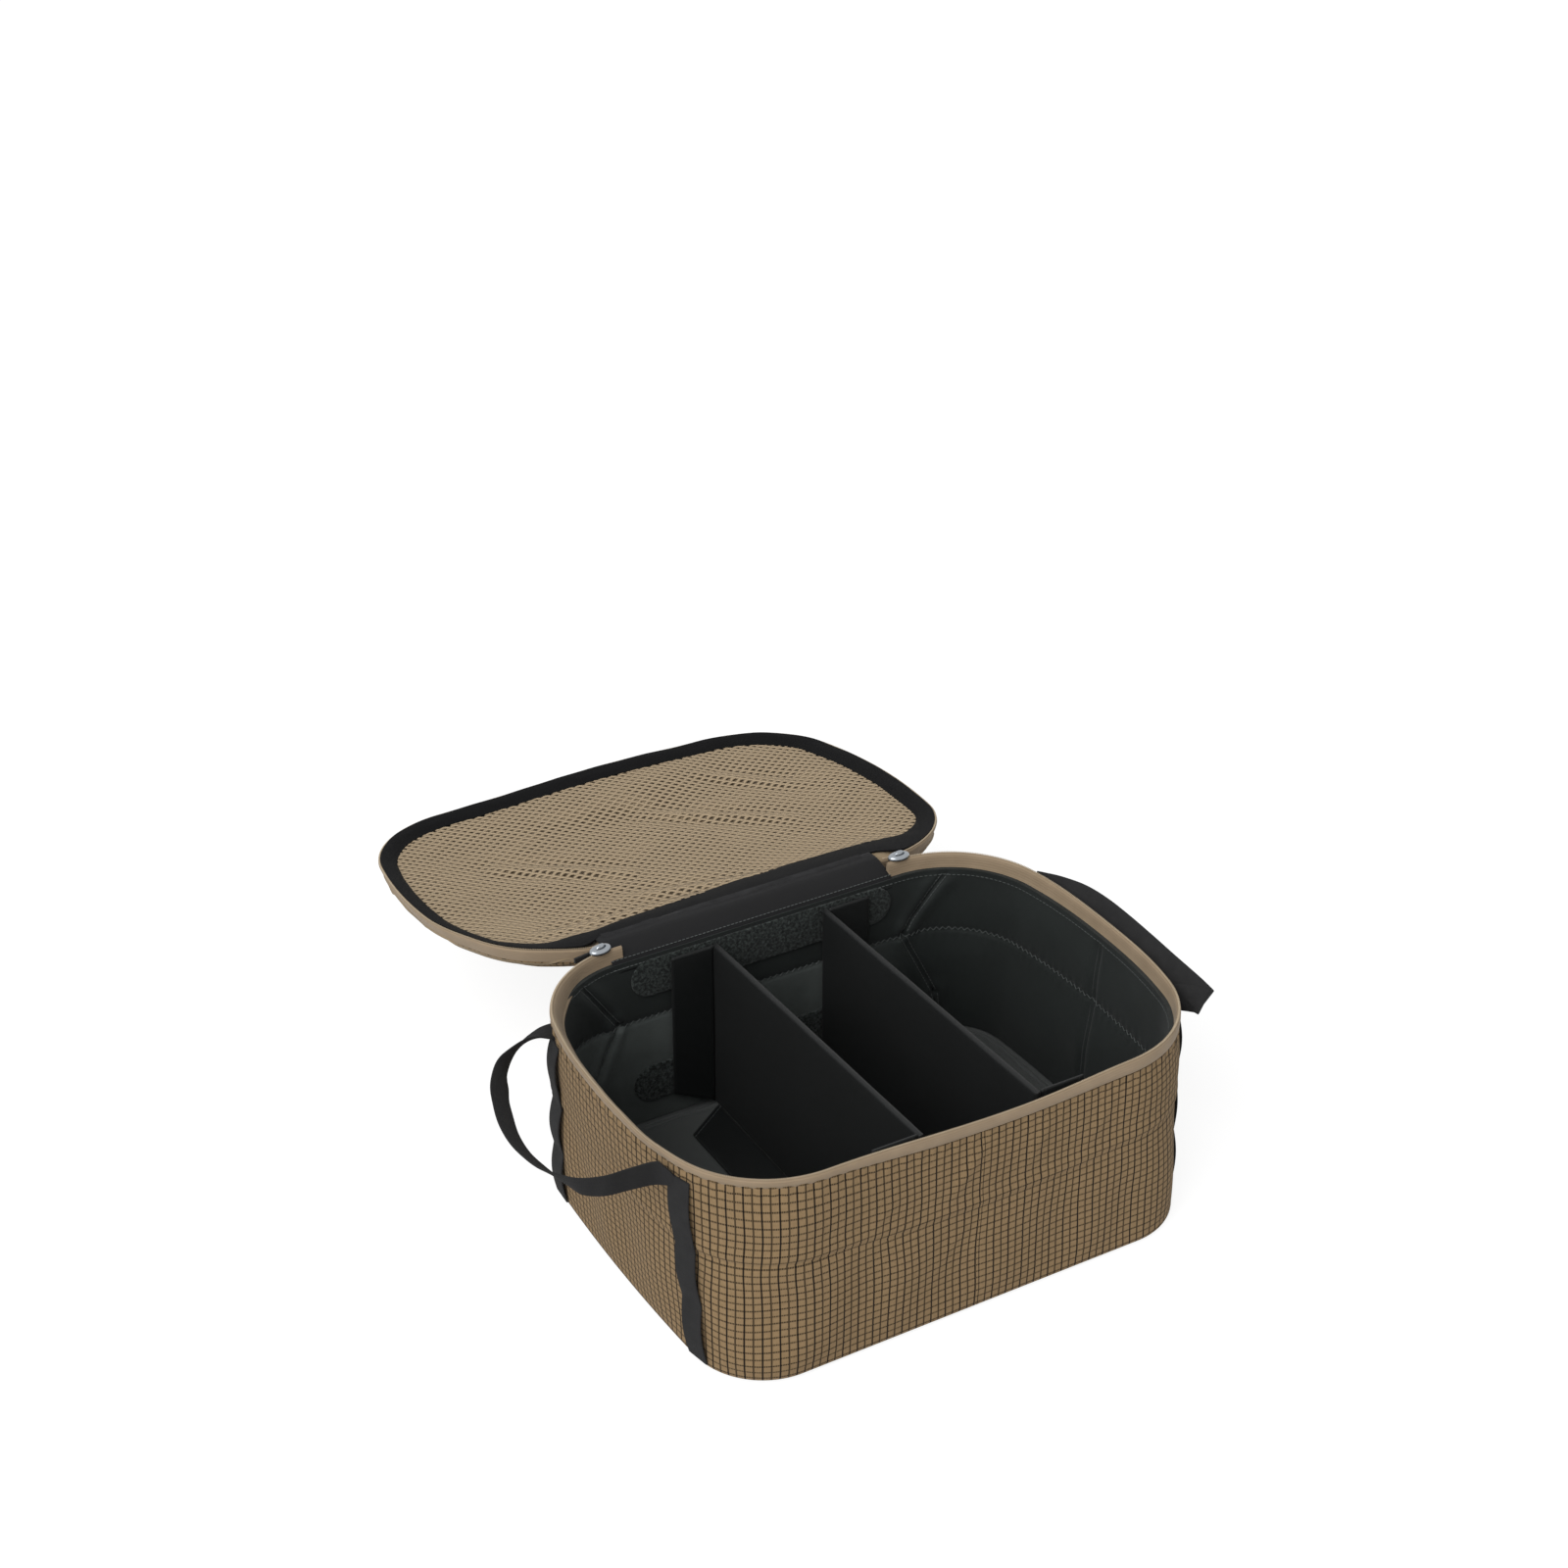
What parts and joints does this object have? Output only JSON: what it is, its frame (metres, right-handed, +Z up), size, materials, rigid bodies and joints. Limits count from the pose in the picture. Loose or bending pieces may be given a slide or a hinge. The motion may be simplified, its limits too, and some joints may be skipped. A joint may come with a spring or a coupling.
{
  "type": "organizer cube",
  "caption": "Padded grid-cloth storage cube with rounded corners, a zipped mesh-faced lid hinged at the back, movable padded dividers, daisy-chain straps and webbing side handles.",
  "frame": {"origin": "centre of the base cloth's underside, on the ground", "axes": "+X along the long side to the right, +Y from the front to the lid hinge, +Z up"},
  "size_m": [0.5094, 0.6055, 0.1691],
  "materials": {
    "grid_cloth": "woven grid cloth",
    "zip_tape_cloth": "woven tape",
    "coil_nylon": "satin",
    "lining_cloth": "smooth woven lining",
    "closed_cell_foam": "matt foam",
    "loop_pile": "loop pile",
    "hook_tape": "hook pile",
    "webbing": "woven webbing",
    "binding_tape": "ribbed tape",
    "mesh_knit": "open knit",
    "divider_cloth": "smooth woven",
    "panel_cloth": "smooth woven",
    "zinc_alloy": "tumbled zinc alloy",
    "cord_pull": "matt"
  },
  "bodies": {
    "body": {"base_panel": "grid_cloth", "body_zipper_coil": "coil_nylon", "body_zipper_tape": "zip_tape_cloth", "floor_board": "closed_cell_foam", "floor_lining": "lining_cloth", "hinge_panel": "panel_cloth", "lining_lower": "lining_cloth", "lining_upper": "lining_cloth", "loop_strip_back_lower": "loop_pile", "loop_strip_back_upper": "loop_pile", "loop_strip_front_lower": "loop_pile", "loop_strip_front_upper": "loop_pile", "outer_shell": "grid_cloth", "strap_front_left": "webbing", "strap_front_right": "webbing", "strap_rear_left": "webbing", "strap_rear_right": "webbing", "wall_pad_back_lower": "closed_cell_foam", "wall_pad_back_upper": "closed_cell_foam", "wall_pad_front_lower": "closed_cell_foam", "wall_pad_front_upper": "closed_cell_foam", "wall_pad_left_lower": "closed_cell_foam", "wall_pad_left_upper": "closed_cell_foam", "wall_pad_right_lower": "closed_cell_foam", "wall_pad_right_upper": "closed_cell_foam"},
    "lid": {"lid_binding": "binding_tape", "lid_hinge_facing": "panel_cloth", "lid_mesh": "mesh_knit", "lid_panel": "grid_cloth", "lid_zipper_coil": "coil_nylon", "lid_zipper_tape": "zip_tape_cloth"},
    "divider_1": {"divider_1_board": "divider_cloth", "divider_1_flap_back": "divider_cloth", "divider_1_flap_bottom": "divider_cloth", "divider_1_flap_front": "divider_cloth", "divider_1_hook_back": "hook_tape", "divider_1_hook_front": "hook_tape"},
    "divider_2": {"divider_2_board": "divider_cloth", "divider_2_flap_back": "divider_cloth", "divider_2_flap_bottom": "divider_cloth", "divider_2_flap_front": "divider_cloth", "divider_2_hook_back": "hook_tape", "divider_2_hook_front": "hook_tape"},
    "handle_left": {"handle_left": "webbing"},
    "handle_right": {"handle_right": "webbing"},
    "slider_left": {"slider_left": "zinc_alloy"},
    "slider_right": {"slider_right": "zinc_alloy"},
    "pull_left": {"pull_left": "cord_pull"},
    "pull_right": {"pull_right": "cord_pull"}
  },
  "joints": [
    {"name": "lid_hinge", "type": "hinge", "parent": "body", "child": "lid", "pos_m": [0, 0.1549, 0.1606], "axis": [1, 0, 0], "range_deg": [-18, 187.7]},
    {"name": "divider_1_slide", "type": "slide", "parent": "body", "child": "divider_1", "axis": [1, 0, 0], "range_m": [-0.03, 0.04]},
    {"name": "divider_2_slide", "type": "slide", "parent": "body", "child": "divider_2", "axis": [1, 0, 0], "range_m": [-0.036, 0.02]},
    {"name": "handle_left_swing", "type": "hinge", "parent": "body", "child": "handle_left", "pos_m": [-0.2014, 0, 0.1515], "axis": [0, 1, 0], "range_deg": [-58, 54]},
    {"name": "handle_right_swing", "type": "hinge", "parent": "body", "child": "handle_right", "pos_m": [0.2014, 0, 0.1515], "axis": [0, -1, 0], "range_deg": [-55, 37]},
    {"name": "slider_left_run", "type": "hinge", "parent": "body", "child": "slider_left", "pos_m": [-0.11843, 0.0674, 0.165], "axis": [0, 0, 1], "range_deg": [0, 42]},
    {"name": "slider_right_run", "type": "hinge", "parent": "body", "child": "slider_right", "pos_m": [0.11843, 0.0674, 0.165], "axis": [0, 0, -1], "range_deg": [0, 48]},
    {"name": "pull_left_turn", "type": "hinge", "parent": "slider_left", "child": "pull_left", "pos_m": [-0.1303, 0.15187, 0.1618], "axis": [0, 0, -1], "range_deg": [0, 100]},
    {"name": "pull_right_turn", "type": "hinge", "parent": "slider_right", "child": "pull_right", "pos_m": [0.12141, 0.15265, 0.1618], "axis": [0, 0, 1], "range_deg": [0, 100]}
  ]
}
